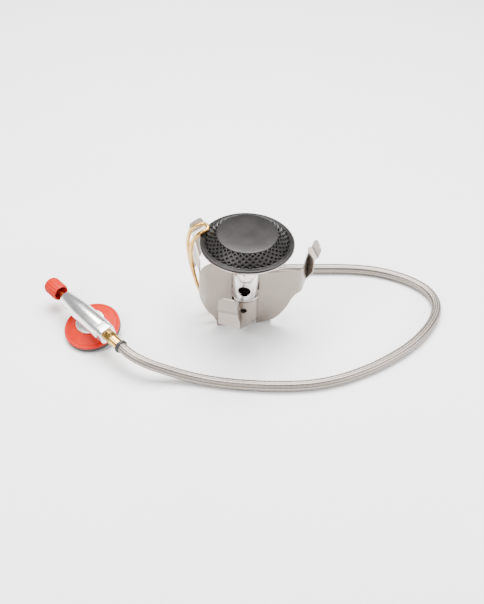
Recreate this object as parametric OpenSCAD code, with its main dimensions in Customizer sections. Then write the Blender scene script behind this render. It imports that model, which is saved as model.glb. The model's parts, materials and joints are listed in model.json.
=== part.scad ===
// Camping gas burner on a braided hose, with a three-armed stove bracket and a canister valve.
// Millimetres, +Z up. The origin is on the burner's axis, on the surface that it stands on.

/* [Burner head] */
// Height of the cap's rim above the surface
head_z = 74; // [71:0.5:80]
// Radius of the black cap
cap_r = 30.2; // [28:0.1:31.5]
// Thickness of the cap at its rim
cap_t = 3; // [2:0.1:4]
// Rise of the cap's smooth middle above its rim
cap_crown = 6.6; // [5:0.2:7.4]
// Radius of the cap's smooth middle
crown_r = 19; // [16:0.5:20]
// Radius of one flame port
port_r = 0.8; // [0.5:0.1:0.9]
// Number of ports in one row
port_count = 36; // [24:1:40]
// Wall of the funnel under the cap
cup_wall = 0.8; // [0.6:0.1:1.2]
// Height of the funnel
cup_h = 16; // [14:0.5:17]
// Thickness of the gauze under the cap
gauze_t = 0.6; // [0.4:0.1:1]

/* [Column] */
// Radius of the mixer tube
mixer_r = 9.2; // [8.8:0.1:9.6]
// Radius of the mixer tube's throat
throat_r = 5; // [4:0.1:6]
// Height at which the mixer tube starts
mixer_z = 29.5; // [28:0.5:31]
// Radius of an air hole
air_r = 4.2; // [3:0.1:4.6]
// Height of the air holes above the mixer tube's lower end
air_rise = 9; // [7.5:0.5:10]
// Radius of the jet holder
holder_r = 7.8; // [7.4:0.1:8.2]
// Radius of the jet's hexagon
jet_r = 3; // [2.6:0.1:3.4]
// Length of the jet
jet_len = 8; // [6:0.5:9]

/* [Bracket] */
// Thickness of the sheet steel
sheet_t = 0.9; // [0.7:0.1:1.2]
// Radius of the circle through the grips' upper ends
grip_r = 49; // [47:0.5:51]
// Width of the two grips on the wings
grip_w = 12; // [10:0.2:13]
// Width of the front grip
front_grip_w = 13.6; // [12:0.2:14]
// Height of the grips' upper ends below the cap's rim
grip_drop = 11; // [9:0.5:13]
// Turn of the right grip from the X axis
grip_turn = 16; // [12:1:20]
// Turn of the front grip past its third of the circle
front_turn_extra = 2; // [-2:1:4]
// Turn of the wings from the X axis
wing_turn = 6; // [3:1:9]
// Height of the right wing's upper edge
wing_h = 47; // [44:0.5:49]
// Height of the left wing's upper edge above the right one
wing_step = 9; // [5:0.5:9.5]

/* [Preheat tube] */
// Radius of the preheat tube
heat_r = 1.3; // [1:0.1:1.5]
// Radius of the nuts on the preheat tube's ends
heat_nut_r = 3; // [2.4:0.1:3.2]
// Length of those nuts
heat_nut_len = 4; // [3:0.5:5]

/* [Inlet block] */
// Width of the brass inlet block
block_w = 26; // [25:1:28]
// Depth of the inlet block
block_d = 10; // [9:0.5:11]
// Height of the inlet block
block_h = 14; // [13:0.5:15]

/* [Hose] */
// Outer radius of the braided hose
hose_r = 3.5; // [3:0.1:3.6]
// Radius of the crimped ferrule at the burner
ferrule_r = 4.3; // [4:0.1:4.6]

/* [Valve] */
// Radius of the valve body
body_r = 6.8; // [6.6:0.1:7.4]
// Radius of the body's end next to the knob
body_tip_r = 5.7; // [5.2:0.1:6.6]
// Length of the body from the canister axis to the knob
body_left = 25.8; // [24.8:0.2:28]
// Length of the body from the canister axis to the hose
body_right = 21.5; // [20:0.5:23]
// Height of the body's axis above the socket's lower end
body_z = 14.6; // [14.2:0.1:16]
// Radius of the canister thread, 7/16 inch across
thread_r = 5.55; // [5.5:0.01:5.6]
// Depth of the canister thread
thread_len = 7.2; // [6.6:0.1:7.6]
// Radius of the socket's lower boss
boss_r = 8.9; // [8:0.1:9.2]
// Height of the boss below the pad
boss_h = 2.2; // [1.8:0.1:2.6]
// Radius of the collar above the disc
collar_r = 9.8; // [9.4:0.1:11]
// Lean of the valve, which rests on its boss and on the pad's edge
valve_lean = 12; // [0:1:12]
// Direction of the valve's axis in plan
valve_turn = -46; // [-48:1:-44]

/* [Coupler disc] */
// Radius of the red disc
disc_r = 19.1; // [18:0.1:19.6]
// Thickness of the red disc
disc_t = 1.5; // [1.2:0.1:2]
// Rise of the red disc from its rim to the collar
disc_rise = 3; // [2:0.1:3.4]
// Thickness of the black pad
pad_t = 2.5; // [2:0.1:3]

/* [Knob] */
// Radius of the knob over its ribs
knob_r = 6.1; // [5.6:0.1:6.6]
// Length of the knob
knob_len = 12.8; // [12:0.2:15]
// Wall of the knob's skirt
knob_wall = 1.3; // [1:0.1:1.6]
// Number of ribs round the knob
rib_count = 18; // [12:1:24]
// Gap between the knob and the body when closed
knob_gap = 6.2; // [4:0.1:7]
// Radius of the spindle's shaft
spindle_r = 1.6; // [1.4:0.1:1.8]
// Radius of the spindle's threaded length
spindle_thread_r = 2.9; // [2.6:0.1:3.1]

/* [Union] */
// Width across the union's hexagon, as a radius to its corners
union_r = 4.2; // [3.9:0.1:4.6]
// Length of the union outside the body
union_len = 12.8; // [11:0.2:14]
// Radius of the black ring behind the hose
ring_r = 4.6; // [4.3:0.1:5]
// Length of the black ring
ring_len = 2.5; // [2:0.1:3]

/* [Hidden] */
$fn = 64;

fit = 0.05;          // running clearance of a shaft, on the radius
seat = 0.02;         // gap between pieces that are pressed or screwed together
cut = 1;             // how far a cutting shape runs past a face

// ---- helpers ----
function unit(v) = v / norm(v);
function reversed(list) = [for (i = [len(list) - 1:-1:0]) list[i]];
function edge_normal(a, b) = let (d = unit(b - a)) [-d[1], d[0]];
function path_normal(p, i) =
    let (n0 = i == 0 ? edge_normal(p[0], p[1]) : edge_normal(p[i - 1], p[i]))
    let (n1 = i == len(p) - 1 ? n0 : edge_normal(p[i], p[i + 1]))
    (n0 + n1) / (1 + n0 * n1);
function beside(p, d) = [for (i = [0:len(p) - 1]) p[i] + path_normal(p, i) * d];

// A corner b of a path, rounded with a bend of radius r
function bend(a, b, c, r, steps = 6) =
    let (u = unit(a - b), v = unit(c - b))
    let (half = acos(u * v) / 2)
    let (centre = b + unit(u + v) * r / sin(half))
    let (p0 = b + u * r / tan(half), p1 = b + v * r / tan(half))
    [for (k = [0:steps])
        let (w = (p0 - centre) * (1 - k / steps) + (p1 - centre) * k / steps)
        centre + unit(w) * r];

// The outline of a bent sheet, seen on its edge
module sheet_edge(path, t) {
    polygon(concat(beside(path, t / 2), reversed(beside(path, -t / 2))));
}

// Catmull-Rom point between p1 and p2
function spline_point(p0, p1, p2, p3, u) =
    0.5 * (2 * p1 + (p2 - p0) * u + (2 * p0 - 5 * p1 + 4 * p2 - p3) * u * u
        + (3 * p1 - p0 - 3 * p2 + p3) * u * u * u);
function smooth_path(p, steps) = concat(
    [for (i = [0:len(p) - 2]) for (k = [0:steps - 1])
        spline_point(
            i == 0 ? 2 * p[0] - p[1] : p[i - 1], p[i], p[i + 1],
            i == len(p) - 2 ? 2 * p[i + 1] - p[i] : p[i + 2], k / steps)],
    [p[len(p) - 1]]);
function tangent(p, i) =
    i == 0 ? unit(p[1] - p[0])
    : i == len(p) - 1 ? unit(p[i] - p[i - 1])
    : unit(unit(p[i + 1] - p[i]) + unit(p[i] - p[i - 1]));
function square_to(v, t) = unit(v - (v * t) * t);
function side_vectors(p, first) =
    [for (i = 0, n = square_to(first, tangent(p, 0)); i < len(p);
        i = i + 1, n = i < len(p) ? square_to(n, tangent(p, i)) : n) n];

// A round tube swept along the points p
module swept(p, r, sides, first) {
    normals = side_vectors(p, first);
    points = [for (i = [0:len(p) - 1]) for (k = [0:sides - 1])
        let (t = tangent(p, i), n = normals[i], b = cross(t, n), a = 360 * k / sides)
        p[i] + r * (cos(a) * n + sin(a) * b)];
    last = (len(p) - 1) * sides;
    walls = [for (i = [0:len(p) - 2]) for (k = [0:sides - 1])
        let (a = i * sides + k, b = i * sides + (k + 1) % sides)
        [a, a + sides, b + sides, b]];
    caps = [[for (k = [0:sides - 1]) k], [for (k = [sides - 1:-1:0]) last + k]];
    polyhedron(points, concat(walls, caps), convexity = 10);
}

// A shape drawn along +Z, laid along the valve's axis so that it runs from x0 towards the hose
module along(x0) {
    translate([x0, 0, body_z]) rotate([0, 90, 0]) children();
}

// ---- places worked out from the sizes ----
mixer_top = head_z - cap_t - cup_h;
cup_r = cap_r - 1;
gauze_z = head_z - cap_t - gauze_t;
air_z = mixer_z + air_rise;
air_turn = 265;
holder_bore = 1.5;                // gas way up the holder, closed by a plug below
neck_r = 5.5;                     // spigot of the jet holder inside the mixer tube
neck_h = 4;
jet_z = mixer_z + neck_h - 6;
jet_flat = 2.5;                   // part of the jet that stands out of the holder
grip_z = head_z - grip_drop;
front_wrap_r = holder_r + fit;    // inner faces of the two sheets that wrap the holder
wrap_r = front_wrap_r + sheet_t + seat;
holder_z = 10.5;                  // the holder is thinner below this height
hole_z = 21;                      // spanner hole through the front sheet
wrap_z = 6;                       // lower ends of the holder and of the wraps at the back
web_end = mixer_z - 1;            // the front sheet stops below the mixer tube

block_y = 7;
inlet_z = 9;
gas_y = wrap_r + sheet_t + 4;     // line of the gas channel, behind both wraps
inlet_x = 8;
screw_x = [-4.5, 3];
screw_r = 1.2;
rivet_r = 1.2;
rivet_z = [18.5, 23.5];
tube_turn = 165;                  // direction in which the preheat tube enters the holder
heat_start = [-block_w / 2, gas_y, inlet_z];
function out_from_axis(r, turn, z) = [r * cos(turn), r * sin(turn), z];
heat_end = out_from_axis(neck_r - 1, tube_turn, inlet_z);
heat_nut_at = wrap_r + sheet_t + 1;

seal_pocket_r = 5;                // ring seal above the canister thread
seal_ring = 0.9;
pocket_z = thread_len + 2 * seal_ring + 0.1;
pad_z = boss_h;
disc_z = pad_z + pad_t;
collar_z = disc_z + disc_t + disc_rise;
union_end = body_right + union_len;
hose_x = union_end + ring_len;
knob_x = -body_left - knob_gap - knob_len;

// Route of the hose, from the valve to the burner's inlet
hose_route = [
    [-78.4, -42, 16.1], [-77.7, -42.725, 16.1], [-77, -43.45, 16.1], [-73.4, -46.7, 15.7],
    [-68.8, -49.5, 14.8], [-63.8, -51.5, 13.6], [-59, -52.6, 12.1], [-50, -53.6, 9.2],
    [-40, -54.4, 6.2], [-29.5, -55.6, 4.2], [-19, -57.2, 3.6], [-8.5, -58.5, 3.6], [2, -59.2, 3.6],
    [17, -59.5, 3.6], [33, -58.7, 3.6], [48, -56.4, 3.6], [64, -51.3, 3.6], [75, -46, 3.6],
    [86, -39.8, 3.6], [97, -32.1, 3.6], [108, -23.2, 3.6], [118, -13, 3.6], [126.5, -1.5, 3.6],
    [132.5, 9.5, 3.6], [135.2, 19, 3.6], [135, 27.5, 3.6], [132, 35.5, 3.6], [126.3, 42.4, 3.6],
    [117, 49, 3.6], [105.5, 54, 3.6], [94, 57, 3.6], [82, 58.3, 3.6], [70, 58.4, 3.6],
    [58, 57.8, 3.6], [45, 57, 3.6], [38, 56.6, 3.6], [30.2, 55.6, 4.1], [23, 52.6, 5.2],
    [16.8, 47.8, 6.6], [12, 41.6, 7.9], [9, 34.4, 8.8], [8, 27, 9], [8, 26, 9], [8, 25, 9]
];
hose_start = hose_route[0];

// Path of the preheat tube: up outside the left neck, over the cap's edge and back
heat_path = [
    heat_start, [-19, gas_y, 9.2], [-25, 13.8, 12], [-29.4, 12.8, 18], [-32, 12, 24],
    [-34.8, 12, 33], [-37.3, 12, 45], [-38.5, 12, head_z - 18], [-cap_r - 8.4, 12.2, head_z - 10],
    [-cap_r - 7.2, 12.4, head_z - 3.8], [-cap_r - 4.4, 12, head_z + 0.8],
    [-cap_r - 1, 11.8, head_z + 2.9], [-cap_r + 2.4, 11.4, head_z + 3.7],
    [-cap_r + 4.8, 8.4, head_z + 3.6], [-cap_r + 3.6, 5.8, head_z + 2.7],
    [-cap_r + 0.4, 5, head_z + 1.4], [-cap_r - 2.8, 5.2, head_z - 2.4],
    [-cap_r - 5.2, 6.2, head_z - 7.6],
    [-36.4, 7.2, 60], [-36.4, 7.6, 53], [-35.6, 7.6, 44], [-33.6, 7.4, 33],
    [-31, 7, 24.4], [-26.6, 6.4, 15], [-20, 5.4, 9.8],
    out_from_axis(heat_nut_at + heat_nut_len, tube_turn, inlet_z), heat_end
];

// ---- burner head ----
// Four staggered rows of ports in the cap's sloping side
module cap_ports() {
    rows = 4;
    first = crown_r + 1.6;
    step = (cap_r - 4.2 - first) / (rows - 1);
    for (row = [0:rows - 1]) for (k = [0:port_count - 1])
        rotate([0, 0, (k + row / 2) * 360 / port_count])
            translate([first + row * step, 0, head_z - cap_t + 1])
                cylinder(r = port_r, h = cap_t + cap_crown, $fn = 16);
}

module burner_cap() {
    groove = 0.7;
    groove_r = cap_r - 2.2;
    spigot_r = cap_r - 2.4;
    rim_z = head_z - 1.1 + seat;
    crown_z = head_z + cap_crown;
    color("#2b2a29") difference() {
        rotate_extrude($fn = 96) polygon([
            [0, crown_z - 1.6], [crown_r - 0.6, crown_z - 1.6], [spigot_r - 0.9, head_z - 1.4],
            [spigot_r - 0.9, head_z - cap_t], [spigot_r, head_z - cap_t], [spigot_r, rim_z],
            [cap_r, rim_z], [cap_r, head_z - 0.6], [cap_r - 0.6, head_z],
            [groove_r + groove, head_z], [groove_r, head_z - groove], [groove_r - groove, head_z],
            [groove_r - groove - 0.2, head_z + 0.2], [crown_r + 0.9, crown_z - 0.4],
            [crown_r - 0.6, crown_z], [0, crown_z + 0.3]
        ]);
        cap_ports();
    }
}

module flame_gauze() {
    color("#8f8a80") translate([0, 0, gauze_z])
        cylinder(r = cup_r - 1.2 - fit, h = gauze_t - seat, $fn = 96);
}

// Shallow bowl that opens out of the mixer tube and carries the gauze and the cap
module burner_cup() {
    ledge_z = gauze_z - seat;
    neck = mixer_r - 1.2;
    flange = cap_r + 0.35;
    flange_z = head_z - 1.1;
    color("#b9b4ac") difference() {
        rotate_extrude($fn = 96) polygon([
            [neck, mixer_top], [neck + cup_wall, mixer_top], [mixer_r + 0.6, mixer_top + 2],
            [mixer_r + 4, mixer_top + 5], [cup_r - 9, ledge_z - 5.5], [cup_r - 2, ledge_z - 1.4],
            [cup_r + 1, flange_z - 0.8], [flange, flange_z - 0.6], [flange, flange_z],
            [cup_r - 1.2, flange_z], [cup_r - 1.2, ledge_z], [cup_r - 3.6, ledge_z],
            [cup_r - 9.4, ledge_z - 4.5], [mixer_r + 3.4, mixer_top + 5.8],
            [mixer_r - 0.4, mixer_top + 2.2], [neck, mixer_top + 0.6]
        ]);
        translate([0, 0, head_z - cap_t - seat]) cylinder(r = cap_r - 2.4 + fit, h = cap_t + cut);
    }
}

// Slotted thimble on top of the mixer tube that turns the gas outwards
module mixer_baffle() {
    baffle_r = neck_r + 1;
    baffle_h = 8;
    slots = 6;
    color("#a9a49c") difference() {
        translate([0, 0, mixer_top]) cylinder(r = baffle_r, h = baffle_h);
        translate([0, 0, mixer_top - cut]) cylinder(r = baffle_r - 0.8, h = baffle_h - 0.8 + cut);
        for (k = [0:slots - 1]) rotate([0, 0, k * 360 / slots])
            translate([0, -1, mixer_top + 2.5]) cube([baffle_r + cut, 2, 4]);
    }
}

// ---- column ----
module mixer_tube() {
    entry = neck_r + seat;
    color("#c9c4bc") difference() {
        union() {
            translate([0, 0, mixer_z]) cylinder(r = mixer_r, h = mixer_top - mixer_z - seat - 6);
            translate([0, 0, mixer_top - 6 - seat]) cylinder(r1 = mixer_r, r2 = mixer_r - 1.2, h = 6);
        }
        rotate_extrude() polygon([
            [0, mixer_z - cut], [entry, mixer_z - cut], [entry, air_z + air_r + 1],
            [throat_r, air_z + air_r + 4], [throat_r, mixer_top - 5], [neck_r + 0.2, mixer_top + cut],
            [0, mixer_top + cut]
        ]);
        for (k = [0:3]) translate([0, 0, air_z]) rotate([0, 90, air_turn + 90 * k])
            cylinder(r = air_r, h = mixer_r + cut);
        // groove where the tube meets the holder
        translate([0, 0, mixer_z + 0.8]) rotate_extrude() translate([mixer_r, 0]) circle(r = 0.35, $fn = 16);
    }
}

module jet_holder() {
    side_r = 2.2;
    color("#6f6a64") difference() {
        union() {
            translate([0, 0, holder_z]) cylinder(r = holder_r, h = mixer_z - seat - holder_z);
            translate([0, 0, wrap_z]) cylinder(r = neck_r, h = mixer_z + neck_h - wrap_z);
        }
        translate([0, 0, -cut]) cylinder(r = holder_bore, h = mixer_z);
        translate([0, 0, jet_z]) cylinder(r = jet_r - 0.6 + seat, h = mixer_z);
        translate([0, 0, inlet_z]) rotate([0, 90, tube_turn])
            cylinder(r = heat_r + seat, h = neck_r + cut);
        for (z = rivet_z) translate([0, 0, z]) rotate([0, 90, 90])
            translate([0, 0, holder_r - 2]) cylinder(r = rivet_r + seat, h = 2 + cut);
        // blind hole behind the hole in the front sheet
        translate([0, 0, hole_z]) rotate([0, 90, air_turn])
            translate([0, 0, holder_r - 2]) cylinder(r = side_r, h = 2 + cut);
    }
}

// Screw plug that closes the holder below; the burner stands on its flat head
module end_plug() {
    head_r = 2.8;
    color("#8d8880") {
        difference() {
            cylinder(r = head_r, h = wrap_z - seat);
            translate([0, 0, -cut]) cylinder(r = 1.5, h = 2 + cut, $fn = 6);
        }
        translate([0, 0, 2.5]) cylinder(r = holder_bore - seat, h = wrap_z - 1);
    }
}

module jet() {
    orifice = 0.2;
    thread = jet_r - 0.6;
    body_len = jet_len - jet_flat;
    color("#c79a4b") difference() {
        union() {
            translate([0, 0, jet_z + 2]) cylinder(r = thread, h = mixer_z + neck_h - jet_z - 2);
            translate([0, 0, mixer_z + neck_h + 0.6]) cylinder(r = jet_r, h = jet_flat, $fn = 6);
            translate([0, 0, mixer_z + neck_h]) cylinder(r = thread, h = 1);
            translate([0, 0, mixer_z + neck_h + jet_flat]) cylinder(r1 = jet_r - 0.4, r2 = 1, h = body_len / 4);
        }
        translate([0, 0, jet_z]) cylinder(r = 1, h = mixer_z + neck_h - jet_z + 2);
        translate([0, 0, jet_z]) cylinder(r = orifice, h = jet_len + 6, $fn = 16);
    }
}

module jet_washer() {
    color("#b5713c") translate([0, 0, mixer_z + neck_h]) difference() {
        cylinder(r = jet_r + 0.4, h = 0.6 - seat);
        translate([0, 0, -cut]) cylinder(r = jet_r - 0.6 + seat, h = 2 * cut + 1);
    }
}

module jet_filter() {
    color("#9a8f7a") translate([0, 0, jet_z + seat]) cylinder(r = jet_r - 0.6, h = 2 - 2 * seat);
}

// ---- bracket ----
// One grip, flat across: the profile runs down from the upper end, as radius and height.
// The outline is drawn on the grip's face, from -w/2 to w/2 across.
module grip(turn, profile, w, outline, inset = 0, rise = 0) {
    rotate([0, 0, turn]) intersection() {
        translate([0, w / 2, 0]) rotate([90, 0, 0]) linear_extrude(w) sheet_edge(profile, sheet_t);
        rotate([90, 0, 90]) linear_extrude(2 * grip_r) outline_2d(w, outline, w / 2 - inset, grip_z + rise);
    }
}

// Lower part of a grip's outline, with the upper corners rounded
module outline_2d(w, lower, right, top) {
    corner = 3;
    polygon(concat(lower, [
        for (k = [0:4]) [right - corner + corner * cos(22.5 * k), top - corner + corner * sin(22.5 * k)],
        for (k = [0:4]) [-w / 2 + corner - corner * sin(22.5 * k), top - corner + corner * cos(22.5 * k)]
    ]));
}

wing_profile = [
    [grip_r, grip_z + 0.5], [grip_r - 2.1, grip_z - 7], [grip_r - 4.6, grip_z - 7.6],
    [grip_r - 4.2, grip_z - 12], [grip_r - 5, 22]
];
front_rise = 1.6;                 // the front grip stands higher than the other two
front_inset = 2;                  // and is narrower above its fold
front_profile = [
    [grip_r - 2.8, grip_z + front_rise + 0.5], [grip_r - 1, grip_z - 6], [grip_r - 3.6, grip_z - 7.5],
    [grip_r - 2.8, grip_z - 10], [grip_r - 4, grip_z - 22]
];
wing_lower = [[-grip_w / 2, grip_z - 19], [grip_w / 2, grip_z - 36]];
front_lower = [
    [-front_grip_w / 2, grip_z - 21], [front_grip_w / 2, grip_z - 22],
    [front_grip_w / 2, grip_z - 18], [front_grip_w / 2 - front_inset, grip_z - 10]
];

// Plan position on a grip's lower strip, h across from its middle
function on_strip(turn, r, h) = [cos(turn), sin(turn)] * r + [-sin(turn), cos(turn)] * h;

// Point on the wings' line, s from the burner's axis
function wing_point(s) = [cos(wing_turn), sin(wing_turn)] * s;

module wing_sheet() {
    strip_r = grip_r - 4.6;
    edge = grip_w / 2 - sheet_t / 2;
    left_end = on_strip(grip_turn + 120, strip_r, edge);
    right_end = on_strip(grip_turn, strip_r, edge);
    left_corner = wing_point(18.4 - grip_r);
    left_turn = [17.8 - grip_r, 14];
    right_corner = wing_point(grip_r - 11.4);
    linear_extrude(grip_z) {
        sheet_edge(concat([wing_point(-wrap_r)], bend(wing_point(-wrap_r), left_corner, left_turn, 5),
            bend(left_corner, left_turn, left_end, 12), [left_end]), sheet_t);
        sheet_edge(concat([wing_point(wrap_r)], bend(wing_point(wrap_r), right_corner, right_end, 3),
            [right_end]), sheet_t);
    }
}

// Front view of the wings
module wing_outline() {
    left_h = wing_h + wing_step;
    tip = grip_r - 7;
    polygon([
        [wrap_r - cut, 7.4], [18.3, 4], [20.3, 4.9], [23.6, 8], [26.8, 12.6], [29.3, 17.2], [31.4, 22.7],
        [tip - 8.2, 26.7], [tip - 5.3, 28.8], [tip - 3.4, 29.6], [tip, 29.6],
        [tip, grip_z - 11], [tip - 1.6, grip_z - 11.4], [tip - 3.6, wing_h + 3],
        [tip - 5.6, wing_h + 1.8], [tip - 9, wing_h + 0.6], [wrap_r - cut, wing_h]
    ]);
    polygon([
        [-wrap_r + cut, 0], [-18.4, 0], [-19.1, 4.5], [-21.2, 9.4], [-24.6, 13.4], [-28, 19.2],
        [-29.4, 22], [10 - tip, 27], [10 - tip, left_h - 10], [12.1 - tip, left_h - 9.4],
        [12.8 - tip, left_h - 6], [14.7 - tip, left_h - 2.8], [17.2 - tip, left_h - 0.8],
        [20 - tip, left_h], [-wrap_r + cut, left_h]
    ]);
}

// Side view of the neck that runs back to the left grip
module neck_outline() {
    back = grip_r - 9;
    polygon([
        [-1, 27], [3, 32], [12, 35.4], [back - 16, 34], [back, 27], [back, grip_z - 8],
        [back - 14, grip_z - 12], [14, wing_h - 2], [6, wing_h - 2], [-1, wing_h + wing_step - 10]
    ]);
}

module main_bracket() {
    step_r = mixer_r + 2 * fit;    // the wrap is stepped out round the mixer tube
    color("#c6beb4") difference() {
        union() {
            intersection() {
                wing_sheet();
                union() {
                    rotate([90, 0, 0]) linear_extrude(grip_r, center = true) intersection() {
                        wing_outline();
                        translate([0, -cut]) square([grip_r, head_z]);
                    }
                    translate([0, 2, 0]) rotate([90, 0, 0]) linear_extrude(12) intersection() {
                        wing_outline();
                        translate([-grip_r, -cut]) square([grip_r, head_z]);
                    }
                    translate([-grip_r, 0, 0]) rotate([90, 0, 90]) linear_extrude(grip_r / 2) neck_outline();
                }
            }
            rotate([0, 0, wing_turn]) rotate_extrude(angle = 180) polygon([
                [wrap_r, wrap_z], [wrap_r + sheet_t, wrap_z], [wrap_r + sheet_t, mixer_z - 1.6],
                [step_r + sheet_t, mixer_z - 0.8], [step_r + sheet_t, wing_h], [step_r, wing_h],
                [step_r, mixer_z - 0.7], [wrap_r, mixer_z - 1.5]
            ]);
            for (k = [0, 1]) grip(grip_turn + 120 * k, wing_profile, grip_w, wing_lower);
            foot();
        }
        translate([0, 0, mixer_z - 0.4]) cylinder(r = mixer_r + fit, h = wing_h);
        translate([0, 0, inlet_z]) rotate([0, 90, tube_turn]) cylinder(r = heat_r + 0.5, h = 2 * wrap_r);
        rivet_holes();
        screw_holes(fit);
    }
}

// Lower edge of the right wing, bent back to stand on the surface
module foot() {
    run = [[wrap_r + 0.5, 1, 7.4], [18.2, 2, 4], [18.4, 6, 0], [wrap_r, 2.2, 0]];
    hull() for (p = run) translate(p) cylinder(r = sheet_t / 2, h = 0.6, $fn = 12);
}

// Holes through both wraps
module rivet_holes() {
    for (z = rivet_z) translate([0, 0, z]) rotate([0, 90, 90]) cylinder(r = rivet_r + seat, h = 2 * wrap_r);
}

module screw_holes(gap) {
    for (x = screw_x) translate([x, 0, inlet_z]) rotate([-90, 0, 0])
        cylinder(r = screw_r + gap, h = gas_y - heat_r - 1);
}

// The front arm's sheet: a wrap round the holder's front, a web folded out of it and a grip
module front_bracket() {
    turn = grip_turn + 240 + front_turn_extra;
    fold = 242;
    tip = on_strip(turn, grip_r - 3.2, front_grip_w / 2 - sheet_t / 2);
    start = [cos(fold), sin(fold)] * (front_wrap_r + sheet_t / 2);
    run = norm(tip - start);
    web = [
        [-0.1, 3.8], [2, 4.4], [8, 10], [16, 20], [30, 34], [run, grip_z - 21.6],
        [run, grip_z - 18.4], [run - 5, grip_z - 20.4], [24, 37.6], [12, 33], [5, 29],
        [2.4, web_end - 0.2], [-0.1, web_end - 0.2]
    ];
    color("#c6beb4") difference() {
        union() {
            grip(turn, front_profile, front_grip_w, front_lower, front_inset, front_rise);
            translate(start) rotate([90, 0, atan2(tip[1] - start[1], tip[0] - start[0])])
                translate([0, 0, -sheet_t / 2]) linear_extrude(sheet_t) polygon(web);
            difference() {
                translate([0, 0, 3.4]) rotate([0, 0, fold]) rotate_extrude(angle = 251)
                    translate([front_wrap_r, 0]) square([sheet_t, web_end - 3.4]);
                // lower edge: it slopes at the front and is level at the back
                rotate([90, 0, 0]) linear_extrude(2 * holder_r)
                    polygon([[-6.5, 0], [6, 10], [12, 10], [12, 0]]);
                translate([-2 * holder_r, -0.5, 0]) cube([4 * holder_r, 3 * holder_r, wrap_z]);
            }
        }
        rivet_holes();
        screw_holes(fit);
        translate([0, 0, hole_z]) rotate([0, 90, air_turn]) cylinder(r = 2.2, h = 2 * wrap_r);
    }
}

// Rivets through both wraps into the holder, one above the other
module bracket_rivets() {
    head_r = 2;
    color("#a8a299") for (z = rivet_z) translate([0, 0, z]) rotate([0, 90, 90]) {
        translate([0, 0, holder_r - 1.8]) cylinder(r = rivet_r, h = 1.8 + 2 * sheet_t + 0.3);
        translate([0, 0, wrap_r + sheet_t + seat]) cylinder(r1 = head_r, r2 = head_r * 0.6, h = 0.9);
    }
}

// ---- gas path at the burner ----
module preheat_tube() {
    color("#c99a3d") swept(smooth_path(heat_path, 3), heat_r, 10, [0, 1, 0]);
}

module heat_nut() {
    rotate([0, 90, 0]) difference() {
        cylinder(r = heat_nut_r, h = heat_nut_len, $fn = 6);
        translate([0, 0, -cut]) cylinder(r = heat_r + 0.15, h = heat_nut_len + 2 * cut);
    }
}

module preheat_nuts() {
    color("#b98a36") {
        translate(heat_start - [heat_nut_len + seat, 0, 0]) heat_nut();
        rotate([0, 0, tube_turn]) translate([heat_nut_at, 0, inlet_z]) heat_nut();
    }
}

module inlet_block() {
    color("#b98a36") difference() {
        translate([-block_w / 2, block_y, 0]) cube([block_w, block_d, block_h]);
        translate([0, 0, -cut]) cylinder(r = wrap_r + sheet_t + seat, h = block_h + 2 * cut);
        translate([-block_w / 2 - cut, gas_y, inlet_z]) rotate([0, 90, 0])
            cylinder(r = heat_r + seat, h = block_w / 2 + inlet_x + cut);
        translate([inlet_x, block_y + block_d + cut, inlet_z]) rotate([90, 0, 0])
            cylinder(r = 2, h = block_y + block_d - gas_y + cut);
        screw_holes(seat);
    }
}

module inlet_filter() {
    color("#9a8f7a") translate([inlet_x, block_y + block_d - seat, inlet_z]) rotate([90, 0, 0])
        cylinder(r = 2 - seat, h = 1.2);
}

// Two small screws that hold the block to the bracket's wrap
module block_screws() {
    color("#8d8880") for (x = screw_x) translate([x, 0, inlet_z]) rotate([-90, 0, 0]) {
        y0 = sqrt(pow(holder_r, 2) - x * x) + 0.9;
        translate([0, 0, y0]) cylinder(r = screw_r, h = gas_y - heat_r - 1.2 - y0);
    }
}

module burner_ferrule() {
    y0 = block_y + block_d + seat;
    y1 = hose_route[len(hose_route) - 1][1];
    color("#b98a36") {
        translate([inlet_x, y0, inlet_z]) rotate([-90, 0, 0]) cylinder(r = ferrule_r + 0.4, h = 3, $fn = 6);
        translate([inlet_x, y0 + 1, inlet_z]) rotate([-90, 0, 0]) cylinder(r = ferrule_r, h = y1 - y0 - 1);
    }
}

module hose() {
    color("#a8a39b") swept(smooth_path(hose_route, 2), hose_r, 12, [0, 0, 1]);
}

// ---- canister valve ----
// Places the valve so that the ring on its axis meets the hose's first point
module valve_place() {
    translate(hose_start) rotate([0, 0, valve_turn]) rotate([valve_lean, 0, 0])
        translate([-hose_x, 0, -body_z]) children();
}

module valve_body() {
    flat_len = 6;
    flat_half = body_r - 1.1;
    color("#d6d4d0") valve_place() difference() {
        union() {
            along(-body_left) cylinder(r1 = body_tip_r - 0.5, r2 = body_tip_r, h = 0.8);
            along(-body_left + 0.8) cylinder(r1 = body_tip_r, r2 = body_r, h = body_left - 8.8);
            along(-8) cylinder(r = body_r, h = body_right + 8 - flat_len);
            intersection() {
                along(body_right - flat_len - seat) cylinder(r = body_r, h = flat_len + seat);
                translate([body_right - flat_len - 1, -flat_half, body_z - flat_half])
                    cube([flat_len + 2, 2 * flat_half, 2 * flat_half]);
            }
            cylinder(r = boss_r, h = collar_z + 1);
            translate([0, 0, collar_z]) cylinder(r = collar_r, h = 2);
        }
        // canister socket
        translate([0, 0, -cut]) cylinder(r = thread_r, h = thread_len + cut);
        cylinder(r = seal_pocket_r, h = pocket_z);
        cylinder(r = 1.2, h = body_z);
        // bores for the spindle, the seat and the outlet
        along(-body_left - cut) cylinder(r = spindle_thread_r + fit, h = body_left - 9 + cut);
        along(-9 - cut) cylinder(r = spindle_r + 0.8, h = 12 + cut);
        along(3) cylinder(r = 3, h = body_right);
    }
}

module valve_seat() {
    color("#b98a36") valve_place() along(3 + seat) difference() {
        cylinder(r = 3 - seat, h = 4.5);
        translate([0, 0, -cut]) cylinder(r = 0.9, h = 4.5 + 2 * cut);
    }
}

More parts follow.
